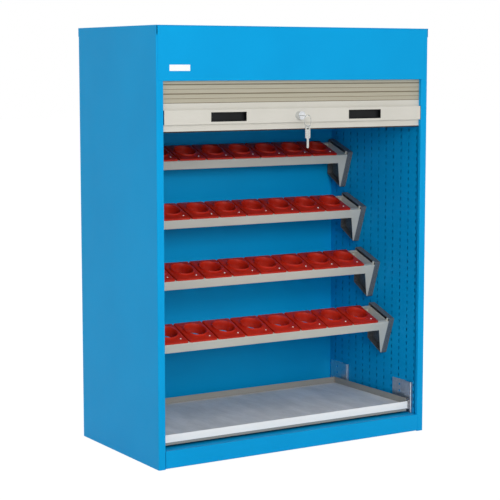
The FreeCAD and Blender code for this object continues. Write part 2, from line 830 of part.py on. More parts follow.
def shelf_frame(number):
    """Front and rear rails, end plates and the ears that run down to the brackets' tips."""
    t, tall, lip = size("shelf_sheet"), size("shelf_rail_tall"), size("shelf_lip")
    top = -size("rail_drop")
    long = size("frame_long")
    reach = wall_face - size("bracket_wide")
    high, low = top - t / 2, top - tall + t / 2
    channel = folded([(lip, high), (t / 2, high), (t / 2, low), (lip, low)], t, t / 2)
    name = f"shelf_frame_{number}"
    rail = body(name + "_rail", "YZ_Plane", channel, f"2 * ({WALL} - bracket_wide)")
    back = long - t / 2
    rear_channel = folded([(long - lip, high), (back, high), (back, low), (long - lip, low)], t, t / 2)
    rear = body(name + "_rear", "YZ_Plane", rear_channel, f"2 * ({WALL} - bracket_wide)")
    place = shelf_place(number)
    pieces = []
    for thing in (rail, rear):
        thing.Placement = Placement(Vector(-reach, 0, 0) + place.Base, place.Rotation)
        pieces.append(thing)
    for side in (-1, 1):
        plate = Part.makeBox(t, long - t, tall, Vector(reach - t, t / 2, top - tall))
        tab_wide = size("tab_wide")
        tab = Part.makeBox(tab_wide, size("tab_thick"), -top, Vector(reach - tab_wide, lip / 2, top))
        ear = Part.Face(Part.makePolygon([
            Vector(reach, 0, top - tall), Vector(reach, 0, size("bracket_round") - size("bracket_tall")),
            Vector(reach - size("ear_tip"), 0, size("bracket_round") - size("bracket_tall")),
            Vector(reach - size("ear_top"), 0, top - tall), Vector(reach, 0, top - tall),
        ])).extrude(Vector(0, t, 0))
        ear = ear.fuse(Part.makeBox(size("ear_top"), t, t, Vector(reach - size("ear_top"), 0, top - tall)))
        end = plate.fuse([tab, ear])
        if side < 0:
            end = end.mirror(Vector(), Vector(1, 0, 0))
        thing = doc.addObject("Part::Feature", f"{name}_end_{'left' if side < 0 else 'right'}")
        thing.Shape = end
        thing.Placement = place
        pieces.append(thing)
    return keep(name, fuse(name, *pieces))


def insert_shape():
    """Plastic seat: a plate on the rails, a skirt between them, a raised collar and a through bore."""
    top, play, lip = -size("rail_drop"), size("insert_play"), size("shelf_lip")
    long, wide = size("frame_long"), size("insert_wide")
    plate = Part.makeBox(wide, long - 2 * play, size("insert_plate"), Vector(-wide / 2, play, top))
    skirt = Part.makeBox(
        wide, long - 2 * lip - 2 * play, size("insert_skirt"),
        Vector(-wide / 2, lip + play, top - size("insert_skirt")),
    )
    middle = Vector(0, size("seat_middle"), 0)
    collar = Part.makeCylinder(
        size("collar_radius"), size("collar_tall"), middle + Vector(0, 0, top + size("insert_plate")),
    )
    bore = Part.makeCylinder(
        size("seat_radius"), size("bracket_tall"), middle + Vector(0, 0, top - size("insert_skirt") - skin),
    )
    return plate.fuse([skirt, collar]).removeSplitter().cut(bore)


def inserts(number):
    seat = insert_shape()
    room = 2 * (wall_face - size("bracket_wide") - size("shelf_sheet") - size("row_margin"))
    count = 1 + math.floor((room - size("insert_wide")) / size("insert_pitch"))
    made = doc.addObject("Part::Feature", f"inserts_{number}")
    made.Shape = Part.Compound([
        seat.translated(Vector((i - (count - 1) / 2) * size("insert_pitch"), 0, 0)) for i in range(count)
    ])
    made.Placement = shelf_place(number)
    return keep(f"inserts_{number}", made)


# the tray

def tray():
    """Pan with a low front, its liner and the bright strip across the front."""
    pan = box(
        "pan_outer",
        (f"-{TRAY}", f"{FRONT} + tray_front", "tray_base"),
        (TRAY, f"{FRONT} + tray_front + tray_long", "rim_height"),
    )
    hollow = box(
        "pan_hollow",
        (f"-{TRAY} + skin", f"{FRONT} + tray_front + skin", "tray_floor"),
        (f"{TRAY} - skin", f"{FRONT} + tray_front + tray_long - skin", "rim_height + skin"),
    )
    low_front = box(
        "pan_low_front",
        (f"-{TRAY} - skin", f"{FRONT} + tray_front - skin", "tray_lip"),
        (f"{TRAY} + skin", f"{FRONT} + tray_front + 2 * skin", "rim_height + skin"),
    )
    under = box(
        "pan_under",
        (f"-{TRAY} + skin", f"{FRONT} + tray_front + skin", "tray_base - skin"),
        (f"{TRAY} - skin", f"{FRONT} + tray_front + tray_long - skin", "tray_floor - skin"),
    )
    keep("tray_pan", cut("pan", pan, fuse("pan_cuts", hollow, low_front, under)))
    keep("tray_liner", box(
        "liner",
        (f"-{TRAY} + skin + liner_play", f"{FRONT} + tray_front + skin + liner_play", "tray_floor"),
        (f"{TRAY} - skin - liner_play", f"{FRONT} + tray_front + tray_long - skin - liner_play",
         "tray_floor + liner_thick"),
    ))
    keep("tray_strip", box(
        "strip",
        (f"-{STRIP}", f"{FRONT} + tray_front - strip_thick", "strip_base"),
        (STRIP, f"{FRONT} + tray_front", "strip_top"),
    ))


def slide_channel(name, side, inner, outer, narrower):
    """One C-shaped member of a telescopic slide, open towards the tray."""
    t = size("slide_sheet")
    low = size("slide_base") + narrower + t / 2
    high = size("slide_base") + size("slide_tall") - narrower - t / 2
    web = side * (outer - t / 2)
    points = [(side * inner, low), (web, low), (web, high), (side * inner, high)]
    made = body(name, "XZ_Plane", folded(points, t, t / 2), "tray_long - 2 * skin")
    return keep(name, at(made, y=f"{FRONT} + tray_front + tray_long - skin"))


def slides():
    """Fixed, middle and inner members on each side."""
    t, start = size("slide_sheet"), tray_side
    outer = start + size("slide_wide")
    step = t + size("slide_play")
    bars = []
    for side, name in ((-1, "left"), (1, "right")):
        slide_channel(f"slide_fixed_{name}", side, start + 3 * t, outer, 0)
        slide_channel(f"slide_middle_{name}", side, start + 2 * t, outer - step, step)
        low = f"-{TRAY} - bar_slide_wide" if side < 0 else TRAY
        high = f"-{TRAY}" if side < 0 else f"{TRAY} + bar_slide_wide"
        bars.append(box(
            f"slide_bar_{name}",
            (low, f"{FRONT} + tray_front + skin", "slide_base + 3 * (slide_sheet + slide_play)"),
            (high, f"{FRONT} + tray_front + tray_long - skin",
             "slide_base + slide_tall - 3 * (slide_sheet + slide_play)"),
        ))
    keep("slide_inners", gathered("slide_bars", *bars))


def hangers():
    """Four brackets on the walls that carry the slides: a drilled plate and a raised rib."""
    rib_face = tray_side + size("slide_wide") + skin / 2
    plate_face = wall_face - skin / 2
    made = []
    for side in (-1, 1):
        for place, start in (("front", size("hanger_front")), ("rear", size("hanger_rear"))):
            near = front + start
            rib_end = near + size("hanger_rib")
            plate_end = rib_end + size("hanger_plate")
            points = [
                (side * plate_face, near), (side * rib_face, near),
                (side * rib_face, rib_end), (side * plate_face, rib_end), (side * plate_face, plate_end),
            ]
            name = f"hanger_{place}_{'left' if side < 0 else 'right'}"
            shape = body(name, "XY_Plane", folded(points, skin, skin / 2), "hanger_tall")
            at(shape, z="hanger_base")
            holes = [
                rod(
                    f"{name}_hole_{i}", "hanger_hole",
                    (f"{side * wall_face} - 2 * skin",
                     f"{FRONT} + {'hanger_' + place} + hanger_rib + hanger_plate / 2",
                     f"hanger_base + hanger_hole_rise + {i} * hanger_hole_step"),
                    "4 * skin",
                )
                for i in range(2)
            ]
            made.append(cut(f"{name}_drilled", shape, fuse(f"{name}_holes", *holes)))
    return keep("tray_hangers", gathered("hangers", *made))


# the drum in the top box

def drum():
    """Axle between two cheeks, the tube that winds the curtain and the spring that lifts it."""
    depth, height = f"{FRONT} + drum_depth", DRUM_Z
    cheeks = []
    for side, name in ((-1, "left"), (1, "right")):
        x_low = WALL + " - cheek_thick" if side > 0 else f"-{WALL}"
        cheek = box(
            f"cheek_plate_{name}",
            (x_low, f"{depth} - cheek_wide / 2", f"{height} - cheek_tall / 2"),
            (f"{x_low} + cheek_thick", f"{depth} + cheek_wide / 2", "height - skirt_tall"),
        )
        start = (f"{x_low} - skin", depth, height)
        way = rod(f"cheek_way_{name}", "axle_radius", start, "cheek_thick + 2 * skin")
        cheeks.append(cut(f"cheek_{name}", cheek, way))
    keep("drum_cheeks", gathered("cheeks", *cheeks))
    keep("drum_axle", rod("axle", "axle_radius", (f"-{WALL}", depth, height), f"2 * {WALL}"))
    start = f"-{WALL} + cheek_thick + drum_end_gap"
    length = f"2 * ({WALL} - cheek_thick - drum_end_gap)"
    tube = rod("drum_outer", "drum_radius", (start, depth, height), length)
    inside = (f"{start} - skin", depth, height)
    hollow = rod("drum_inner", "drum_radius - drum_wall", inside, f"{length} + 2 * skin")
    keep("drum_tube", cut("drum", tube, hollow))
    hubs = []
    for name, x in (("left", start), ("right", f"{WALL} - cheek_thick - drum_end_gap - hub_thick")):
        disc = rod(f"hub_disc_{name}", "drum_radius - drum_wall", (x, depth, height), "hub_thick")
        way = (f"{x} - skin", depth, height)
        bore = rod(f"hub_bore_{name}", "axle_radius + running_play", way, "hub_thick + 2 * skin")
        hubs.append(cut(f"hub_{name}", disc, bore))
    keep("drum_hubs", gathered("hubs", *hubs))
    keep("drum_spring", spring())


def spring():
    """Close-wound spring as a plain sleeve round the axle, held by a collar at each end."""
    outer, long, collar = size("spring_radius"), size("spring_long"), size("collar_long")
    bore, axle, high = outer - size("spring_wire"), size("axle_radius"), outer + size("collar_step")
    points = [
        (0, axle), (0, high), (collar, high), (collar, outer),
        (long - collar, outer), (long - collar, high), (long, high), (long, axle),
        (long - collar, axle), (long - collar, bore), (collar, bore), (collar, axle), (0, axle),
    ]
    profile = Part.Face(Part.makePolygon([Vector(x, 0, z) for x, z in points]))
    made = doc.addObject("Part::Feature", "spring")
    made.Shape = profile.revolve(Vector(), Vector(1, 0, 0), 360)
    at(made, x="-spring_start", y=f"{FRONT} + drum_depth", z=DRUM_Z)
    return made


def build():
    sides = ((-1, "left"), (1, "right"))
    side_panel(-1, "side_panel_left")
    side_panel(1, "side_panel_right")
    back_panel()
    top_cover()
    fascia()
    plinth()
    base_and_floor()
    for side, name in sides:
        perforated_wall(side, f"perforated_wall_{name}")
        guide(side, f"shutter_guide_{name}")
    for number in range(1, whole("sections") + 1):
        curtain_section(number)
    bottom_rail()
    keep("grips", gathered("grip_pair", *(grip(side, f"grip_{name}") for side, name in sides)))
    lock()
    lock_bars()
    keys()
    for number in range(1, whole("shelves") + 1):
        shelf_frame(number)
        bracket(number, -1, f"bracket_left_{number}")
        bracket(number, 1, f"bracket_right_{number}")
        inserts(number)
    tray()
    slides()
    hangers()
    drum()


def check():
    """Every object is made and every sub-part is sound before anything is written."""
    for thing in doc.Objects:
        if "Invalid" in thing.State or "Error" in thing.State:
            raise RuntimeError(f"{thing.Label} failed: {thing.State}")
    for label, thing in parts.items():
        shape = thing.Shape
        if shape.isNull() or not shape.isValid() or not shape.Solids:
            raise RuntimeError(f"{label} has no sound shape")
        print(f"{label}: {len(shape.Solids)} solids, {shape.Volume / 1000:.1f} cm3")


build()
doc.recompute()
check()
os.makedirs("parts", exist_ok=True)
for label, thing in parts.items():
    thing.Shape.exportStep(f"parts/{label}.step")
print(f"{len(parts)} sub-parts written")
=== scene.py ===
import math

import bpy
import bmesh
import numpy as np
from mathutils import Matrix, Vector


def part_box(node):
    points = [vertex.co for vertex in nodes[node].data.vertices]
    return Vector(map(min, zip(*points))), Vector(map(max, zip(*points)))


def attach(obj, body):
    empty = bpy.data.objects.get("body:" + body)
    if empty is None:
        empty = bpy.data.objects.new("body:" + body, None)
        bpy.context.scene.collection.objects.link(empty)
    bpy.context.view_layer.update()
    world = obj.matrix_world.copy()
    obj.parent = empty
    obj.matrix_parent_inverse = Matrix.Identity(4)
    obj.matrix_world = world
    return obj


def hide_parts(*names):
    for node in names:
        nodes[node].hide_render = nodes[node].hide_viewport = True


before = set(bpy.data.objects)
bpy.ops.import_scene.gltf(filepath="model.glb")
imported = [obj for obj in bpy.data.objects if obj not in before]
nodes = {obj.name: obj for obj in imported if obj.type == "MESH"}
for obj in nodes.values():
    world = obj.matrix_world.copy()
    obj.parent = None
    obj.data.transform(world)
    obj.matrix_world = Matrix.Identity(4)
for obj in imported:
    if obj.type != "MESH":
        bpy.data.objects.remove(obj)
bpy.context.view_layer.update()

mm = 0.001
cadFront = -0.2865  # the cabinet's front plane, in the part's own frame


# small helpers

# sRGB hex to linear colour: a straight share for dark values, a power of 2.4 above them, and alpha 1
def hexColor(code):
    parts = np.array([int(code[i:i + 2], 16) for i in (1, 3, 5)]) / 255
    linear = np.where(parts <= 0.04045, parts / 12.92, ((parts + 0.055) / 1.055) ** 2.4)
    return (*linear.tolist(), 1.0)


# a setting that is one of the node's inputs goes to that socket, and any other to the node itself
def addNode(tree, kind, settings=None, links=None):
    made = tree.nodes.new(kind)
    for key, value in (settings or {}).items():
        if isinstance(key, int) or key in made.inputs:
            made.inputs[key].default_value = value
        else:
            setattr(made, key, value)
    for key, source in (links or {}).items():
        tree.links.new(source, made.inputs[key])
    return made


def newMaterial(name):
    made = bpy.data.materials.new(name)
    made.use_nodes = True
    tree = made.node_tree
    tree.nodes.clear()
    place = addNode(tree, "ShaderNodeTexCoord")
    shader = addNode(tree, "ShaderNodeBsdfPrincipled")
    addNode(tree, "ShaderNodeOutputMaterial", links={"Surface": shader.outputs["BSDF"]})
    return made, tree, place.outputs["Object"], shader


# noise whose patches are about size metres across, stretched along the axes
def spread(tree, place, size, detail=2.0, stretch=(1, 1, 1)):
    scaled = addNode(tree, "ShaderNodeMapping", {"Scale": stretch}, {"Vector": place})
    noise = addNode(tree, "ShaderNodeTexNoise", {"Scale": 1 / size, "Detail": detail},
                    {"Vector": scaled.outputs[0]})
    return noise.outputs["Fac"]


# ramp between two hex colours over a span of the factor
def blendColors(tree, factor, low, high, span=(0.3, 0.7)):
    ramp = addNode(tree, "ShaderNodeValToRGB", links={"Fac": factor})
    for stop, place, code in zip(ramp.color_ramp.elements, span, (low, high)):
        stop.position = place
        stop.color = hexColor(code)
    return ramp.outputs["Color"]


# a factor of 0 to 1 taken in proportion to low to high
def remap(tree, factor, low, high):
    made = addNode(tree, "ShaderNodeMapRange", {"To Min": low, "To Max": high}, {"Value": factor})
    return made.outputs["Result"]


def addBump(tree, shader, height, depth, strength):
    bump = addNode(tree, "ShaderNodeBump", {"Distance": depth, "Strength": strength}, {"Height": height})
    tree.links.new(bump.outputs["Normal"], shader.inputs["Normal"])


# polyester powder coat on folded steel: even colour, a soft gloss and a fine orange peel

powder = {"cloud": 260 * mm, "sheen": 40 * mm, "sheenChange": 0.05, "peel": 2.2 * mm, "peelDepth": 0.03 * mm,
          "ior": 1.5}


def powderCoat(name, low, high, roughness, gloss=0.3):
    made, tree, place, shader = newMaterial(name)
    cloud = spread(tree, place, powder["cloud"])
    tree.links.new(blendColors(tree, cloud, low, high), shader.inputs["Base Color"])
    grain = spread(tree, place, powder["peel"], detail=3.0)
    sheen = spread(tree, place, powder["sheen"])
    tree.links.new(remap(tree, sheen, roughness - powder["sheenChange"], roughness + powder["sheenChange"]),
                   shader.inputs["Roughness"])
    shader.inputs["IOR"].default_value = powder["ior"]
    shader.inputs["Specular IOR Level"].default_value = gloss
    addBump(tree, shader, grain, powder["peelDepth"], strength=0.5)
    return made


# roll-formed aluminium slat with baked beige lacquer: fine lines along its length

lacquer = {"low": "#aaa38f", "high": "#b5af9c", "roughness": 0.45, "depth": 0.02 * mm,
           "line": 1.5 * mm}  # the lines are drawn coarser than the real rolling marks


def lacqueredSlat():
    made, tree, place, shader = newMaterial("lacqueredSlat")
    lines = spread(tree, place, lacquer["line"], stretch=(0.01, 1, 1))
    tree.links.new(blendColors(tree, lines, lacquer["low"], lacquer["high"], (0.2, 0.8)),
                   shader.inputs["Base Color"])
    shader.inputs["Roughness"].default_value = lacquer["roughness"]
    addBump(tree, shader, lines, lacquer["depth"], strength=0.4)
    return made


# injection-moulded nylon: dense colour with a fine spark-eroded grain

nylon = {"cloud": 35 * mm, "sheen": 9 * mm, "sheenChange": 0.06, "grain": 0.8 * mm, "depth": 0.04 * mm,
         "ior": 1.53, "gloss": 0.2}


def mouldedPlastic(name, low, high, roughness):
    made, tree, place, shader = newMaterial(name)
    cloud = spread(tree, place, nylon["cloud"])
    tree.links.new(blendColors(tree, cloud, low, high), shader.inputs["Base Color"])
    sheen = spread(tree, place, nylon["sheen"])
    tree.links.new(remap(tree, sheen, roughness - nylon["sheenChange"], roughness + nylon["sheenChange"]),
                   shader.inputs["Roughness"])
    shader.inputs["IOR"].default_value = nylon["ior"]
    shader.inputs["Specular IOR Level"].default_value = nylon["gloss"]
    addBump(tree, shader, spread(tree, place, nylon["grain"]), nylon["depth"], strength=0.6)
    return made


# extruded EPDM strip: matt black with a faint drag along its length

seal = {"low": "#141414", "high": "#1e1e1e", "roughness": 0.8, "drag": 1.2 * mm, "depth": 0.05 * mm}


def extrudedRubber():
    made, tree, place, shader = newMaterial("extrudedRubber")
    drag = spread(tree, place, seal["drag"], stretch=(0.02, 1, 1))
    tree.links.new(blendColors(tree, drag, seal["low"], seal["high"]), shader.inputs["Base Color"])
    shader.inputs["Roughness"].default_value = seal["roughness"]
    addBump(tree, shader, drag, seal["depth"], strength=0.5)
    return made


# plated metal: bright, with polishing marks that break up the gloss

plating = {"smooth": 0.7, "rough": 1.4}  # shares of the metal's roughness


def platedMetal(name, low, high, roughness, grain, depth=0.01 * mm):
    made, tree, place, shader = newMaterial(name)
    cloud = spread(tree, place, grain, detail=3.0)
    tree.links.new(blendColors(tree, cloud, low, high), shader.inputs["Base Color"])
    shader.inputs["Metallic"].default_value = 1.0
    tree.links.new(remap(tree, cloud, roughness * plating["smooth"], roughness * plating["rough"]),
                   shader.inputs["Roughness"])
    addBump(tree, shader, cloud, depth, strength=0.5)
    return made


# die-cast aluminium with grey lacquer: pebbled skin, paler where it stands up

casting = {"low": "#5c6062", "high": "#86898b", "metallic": 0.35, "smooth": 0.35, "rough": 0.6,
           "pebble": 3.5 * mm, "depth": 0.25 * mm}


def castGrey():
    made, tree, place, shader = newMaterial("castGrey")
    pebble = spread(tree, place, casting["pebble"], detail=3.0)
    tree.links.new(blendColors(tree, pebble, casting["low"], casting["high"], (0.3, 0.75)),
                   shader.inputs["Base Color"])
    shader.inputs["Metallic"].default_value = casting["metallic"]
    tree.links.new(remap(tree, pebble, casting["smooth"], casting["rough"]), shader.inputs["Roughness"])
    addBump(tree, shader, pebble, casting["depth"], strength=0.7)
    return made


# hot-dip zinc sheet, dulled by handling: cloudy spangle drawn out across the depth

spangle = {"low": "#d3d1ce", "high": "#efedea", "smooth": 0.42, "rough": 0.62, "cloud": 60 * mm,
           "fine": 7 * mm, "fineShare": 0.35, "depth": 0.08 * mm}


def galvanisedMat():
    made, tree, place, shader = newMaterial("galvanisedMat")
    cloud = spread(tree, place, spangle["cloud"], detail=5.0, stretch=(1.0, 0.35, 1.0))
    fine = spread(tree, place, spangle["fine"], detail=4.0, stretch=(1.0, 0.3, 1.0))
    both = addNode(tree, "ShaderNodeMath", {"operation": "MULTIPLY_ADD", 1: spangle["fineShare"]},
                   {0: fine, 2: cloud})
    tree.links.new(blendColors(tree, both.outputs[0], spangle["low"], spangle["high"], (0.45, 0.9)),
                   shader.inputs["Base Color"])
    tree.links.new(remap(tree, fine, spangle["smooth"], spangle["rough"]), shader.inputs["Roughness"])
    addBump(tree, shader, fine, spangle["depth"], strength=0.4)
    return made


materials = {
    "blue": powderCoat("blueCoat", "#009ddb", "#00a2e0", 0.45, gloss=0.1),
    "blueInside": powderCoat("blueCoatInside", "#0098d6", "#009dda", 0.5, gloss=0.08),
    "slat": lacqueredSlat(),
    # painted shade for the slat joints: a darker beige put on the groove bottoms in place of their shadow
    "slatJointShade": powderCoat("beigeJointShade", "#7d7461", "#857c69", 0.6, gloss=0.1),
    "rail": powderCoat("beigeCoat", "#cfccc2", "#d6d3ca", 0.45),
    "black": mouldedPlastic("blackCup", "#08090c", "#101216", 0.45),
    "rubber": extrudedRubber(),
    "chrome": platedMetal("chromedZinc", "#c9ccd0", "#e6e8ea", 0.12, grain=20 * mm),
    "nickel": platedMetal("nickelledBrass", "#b4b6b4", "#d2d3d0", 0.25, grain=4 * mm),
    "zinc": platedMetal("zincPlate", "#a9adb0", "#c6cacd", 0.35, grain=8 * mm, depth=0.03 * mm),
    "shelf": powderCoat("lightGreyCoat", "#c3c3ba", "#cacac1", 0.48),
    "cast": castGrey(),
    "red": mouldedPlastic("redNylon", "#b5200e", "#c62a14", 0.4),
    "tray": powderCoat("stoneGreyCoat", "#96958f", "#9c9b95", 0.5),
    "mat": galvanisedMat(),
    "white": powderCoat("whiteCoat", "#f6f7f6", "#fbfcfb", 0.35),
    "hanger": platedMetal("zincHanger", "#cfced3", "#e2e1e6", 0.4, grain=12 * mm, depth=0.03 * mm),
}
print("materials made:", len(materials))


# the CAD nodes that stay, each with the finish of the longest start that its name has

finishByStart = {
    "side_panel": "blue", "back_panel": "blue", "top_cover": "blue", "front_fascia": "blue",
    "plinth": "blue", "base_pan": "blue", "floor_panel": "blueInside", "perforated_wall": "blueInside",
    "shutter_guide": "blueInside", "curtain": "slat", "shutter_rail": "rail", "rail_caps": "black",
    "grips": "black", "bottom_seal": "rubber", "lock_housing": "chrome", "lock_plug": "chrome",
    "lock_": "zinc", "key": "nickel", "spare_key": "nickel", "shelf_frame": "shelf", "bracket": "cast",
    "inserts": "red", "tray_pan": "tray", "tray_liner": "mat", "tray_strip": "white",
    "tray_hangers": "hanger", "slide": "zinc", "drum": "zinc",
}
for name, thing in nodes.items():
    start = max((s for s in finishByStart if name.startswith(s)), key=len)
    thing.data.materials.clear()
    thing.data.materials.append(materials[finishByStart[start]])
print("frame dressed:", len(nodes))


# putting arrays into meshes

mergeDistance = 0.002 * mm


# a mesh from an array of points and lists of faces, whose normals are made to point outwards
def meshFrom(name, points, faces, material):
    mesh = bpy.data.meshes.new(name)
    mesh.from_pydata(np.asarray(points).reshape(-1, 3).tolist(), [], faces)
    work = bmesh.new()
    work.from_mesh(mesh)
    bmesh.ops.remove_doubles(work, verts=work.verts, dist=mergeDistance)
    bmesh.ops.recalc_face_normals(work, faces=work.faces)
    work.to_mesh(mesh)
    work.free()
    mesh.materials.append(materials[material])
    thing = bpy.data.objects.new(name, mesh)
    bpy.context.scene.collection.objects.link(thing)
    return thing


# quads between following rings of count points each; closed joins the last ring to the first
def ringFaces(rings, count, start=0, closed=True):
    i = np.arange(rings if closed else rings - 1)[:, None]
    j = np.arange(count)[None, :]
    here, above = i * count, (i + 1) % rings * count
    nextPoint = (j + 1) % count
    faces = np.stack([here + j, here + nextPoint, above + nextPoint, above + j], -1)
    return (faces.reshape(-1, 4) + start).tolist()


def smooth(thing, angle):
    thing.data.polygons.foreach_set("use_smooth", np.ones(len(thing.data.polygons), bool))
    thing.data.set_sharp_from_angle(angle=math.radians(angle))
    return thing


# slotted inner walls

wallSlots = {
    "wide": 6.0 * mm, "tall": 13.0 * mm, "round": 1.8 * mm,
    "firstColumn": 31.2 * mm, "columnStep": 45.26 * mm, "columns": 12,
    "firstRow": 87.75 * mm, "rowStep": 25.05 * mm, "rows": 53,
}


# Each cell of the sheet is a rectangle round an eight-sided slot. Its faces are written once, by
# number, and every further cell repeats them with 24 added to each number.
def slottedWall(side):
    name = f"perforated_wall_{side}"
    low, high = (np.array(v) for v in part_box(name))
    columns, rows = wallSlots["columns"], wallSlots["rows"]
    ys = cadFront + wallSlots["firstColumn"] + wallSlots["columnStep"] * np.arange(columns)
    zs = wallSlots["firstRow"] + wallSlots["rowStep"] * np.arange(rows)
    yEdges = np.concatenate([[low[1]], (ys[1:] + ys[:-1]) / 2, [high[1]]])
    zEdges = np.concatenate([[low[2]], (zs[1:] + zs[:-1]) / 2, [high[2]]])
    iy, iz = (a.ravel() for a in np.meshgrid(np.arange(columns), np.arange(rows), indexing="ij"))
    w, h, c = wallSlots["wide"] / 2, wallSlots["tall"] / 2, wallSlots["round"]
    holeY = np.array([c - w, w - c, w, w, w - c, c - w, -w, -w])
    holeZ = np.array([-h, -h, c - h, h - c, h, h, h - c, c - h])
    cornerY = np.stack([yEdges[iy], yEdges[iy + 1], yEdges[iy + 1], yEdges[iy]], 1)
    cornerZ = np.stack([zEdges[iz], zEdges[iz], zEdges[iz + 1], zEdges[iz + 1]], 1)
    flatY = np.concatenate([cornerY, ys[iy][:, None] + holeY], 1)
    flatZ = np.concatenate([cornerZ, zs[iz][:, None] + holeZ], 1)
    # per cell: 12 points of one face of the sheet, then 12 of the other
    faceLayers = [np.stack([np.full_like(flatY, x), flatY, flatZ], -1) for x in (low[0], high[0])]
    points = np.stack(faceLayers, 1).reshape(-1, 3)
    quads, triangles = [], []
    for first in (0, 12):
        for k in range(4):
            corner, edge = first + k, first + 4 + 2 * k
            quads.append([corner, first + (k + 1) % 4, edge + 1, edge])
            triangles.append([corner, edge, first + 4 + (2 * k - 1) % 8])
    quads += [[4 + k, 4 + (k + 1) % 8, 16 + (k + 1) % 8, 16 + k] for k in range(8)]
    shift = 24 * np.arange(columns * rows)
    faces = (np.array(quads)[None] + shift[:, None, None]).reshape(-1, 4).tolist()
    faces += (np.array(triangles)[None] + shift[:, None, None]).reshape(-1, 3).tolist()
    for k, outer in ((0, iz == 0), (1, iy == columns - 1), (2, iz == rows - 1), (3, iy == 0)):
        rim = np.array([k, (k + 1) % 4, 12 + (k + 1) % 4, 12 + k])
        faces += (rim[None] + shift[outer][:, None]).tolist()
    wall = meshFrom(f"slotted_wall_{side}", points, faces, "blueInside")
    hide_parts(name)
    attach(wall, "cabinet")


for side in ("left", "right"):
    slottedWall(side)
print("slotted walls made")


# shutter slats

slat = {
    # the joint depths give the band behind the front face whose groove faces get the painted joint shade
    "pitch": 30.4 * mm, "count": 8, "sections": 5, "jointShadeFrom": 0.6 * mm, "jointShadeTo": 1.2 * mm,
    # height up the slat and distance behind its front face, in millimetres
    "profile": [
        (0.1, 1.5), (0.1, 1.15), (1.5, 1.1), (1.9, 0.3), (2.8, 0.05), (14.0, 0.0), (14.6, 0.7),
        (15.8, 0.7), (16.4, 0.0), (27.6, 0.05), (28.5, 0.3), (28.9, 1.1), (30.3, 1.15), (30.3, 1.5),
    ],
}


# the slat's profile, with a joint groove and a middle crease, carried straight along X between the
# section's two ends and repeated upwards at the pitch
def slatSection(number):
    low, high = (np.array(v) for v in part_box(f"curtain_{number}"))
    profile = np.array(slat["profile"]) * mm
    count = len(profile)
    lift = slat["pitch"] * np.arange(slat["count"])
    ends = np.array([low[0], high[0]])
    points = np.zeros((slat["count"], 2, count, 3))
    points[..., 0] = ends[None, :, None]
    points[..., 1] = low[1] + profile[None, None, :, 1]
    points[..., 2] = low[2] + lift[:, None, None] + profile[None, None, :, 0]
    faces = []
    for k in range(slat["count"]):
        first = 2 * count * k
        faces += ringFaces(2, count, first, closed=False)
        faces += [list(range(first, first + count)), list(range(first + count, first + 2 * count))]
    piece = meshFrom(f"slats_{number}", points, faces, "slat")
    # painted shade: a darker beige goes on the faces at the bottom of the grooves, standing in for the
    # shadow in the slat joints
    piece.data.materials.append(materials["slatJointShade"])
    depth = np.array([f.center.y for f in piece.data.polygons]) - low[1]
    facing = np.array([f.normal.y for f in piece.data.polygons])
    grooveShadeMask = (depth > slat["jointShadeFrom"]) & (depth < slat["jointShadeTo"]) & (facing < -0.1)
    piece.data.polygons.foreach_set("material_index", grooveShadeMask.astype(int))
    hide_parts(f"curtain_{number}")
    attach(piece, "shutter" if number == 1 else f"section_{number}")


for number in range(1, slat["sections"] + 1):
    slatSection(number)
print("slats made")


# tool seats

shelf = {
    "tilt": math.radians(20), "front": 150.5 * mm, "height": 393.5 * mm,
    "backStep": 90.52 * mm, "upStep": 200.4 * mm, "count": 4,
}
# the seat's sizes in its shelf's own frame; each pair is in millimetres
seat = {
    "count": 8, "pitch": 114.2 * mm, "wide": 109 * mm, "middle": 69 * mm, "corner": 5 * mm,
    "front": 1 * mm, "back": 129 * mm, "top": -4.5 * mm, "lip": -11 * mm, "base": -33 * mm,
    "hole": 35 * mm, "around": 96,
    "skirtFront": 14 * mm, "skirtBack": 116 * mm, "skirtInset": 0.5 * mm, "skirtCorner": 3 * mm,
    # collar: outwards from the hole, upwards from the top
    "collar": [(0, -14), (0.3, -6), (3.2, 3.4), (4.2, 5.4), (5.4, 6.0), (6.4, 5.6), (7.0, 4.4), (7.6, 0.6),
               (9.0, 0)],
    # rounded upper edge: inwards from the side, downwards from the top
    "edge": [(1.6, 0), (0.4, 0.5), (0.0, 1.7)],
}


# points in a shelf's own frame turned about X by its tilt, then moved to its brackets' front corner
def onShelf(number, points):
    steps = shelf["count"] - number
    c, s = math.cos(shelf["tilt"]), math.sin(shelf["tilt"])
    y = cadFront + shelf["front"] + steps * shelf["backStep"] + points[..., 1] * c - points[..., 2] * s
    z = shelf["height"] + steps * shelf["upStep"] + points[..., 1] * s + points[..., 2] * c
    return np.stack([points[..., 0], y, z], -1)


# Where a ray at an angle from the seat's middle leaves a rectangle: the shorter of its ways to the
# side and to the end. Past a corner's start, the way is scaled onto the corner's quarter circle.
def roundedBox(angle, halfX, low, high, corner, middle):
    dx, dy = np.cos(angle), np.sin(angle)
    reach = np.where(dy > 0, high - middle, middle - low)
    t = np.minimum(halfX / np.maximum(np.abs(dx), 1e-9), reach / np.maximum(np.abs(dy), 1e-9))
    x, y = dx * t, dy * t
    overX = np.abs(x) - (halfX - corner)
    overY = np.abs(y) - (reach - corner)
    over = (overX > 0) & (overY > 0)
    length = np.hypot(overX, overY)
    scale = np.where(over & (length > 0), corner / np.maximum(length, 1e-9), 1)
    x = np.where(over, np.sign(x) * (halfX - corner + np.minimum(overX * scale, overX)), x)
    y = np.where(over, np.sign(y) * (reach - corner + np.minimum(overY * scale, overY)), y)
    return x, y + middle


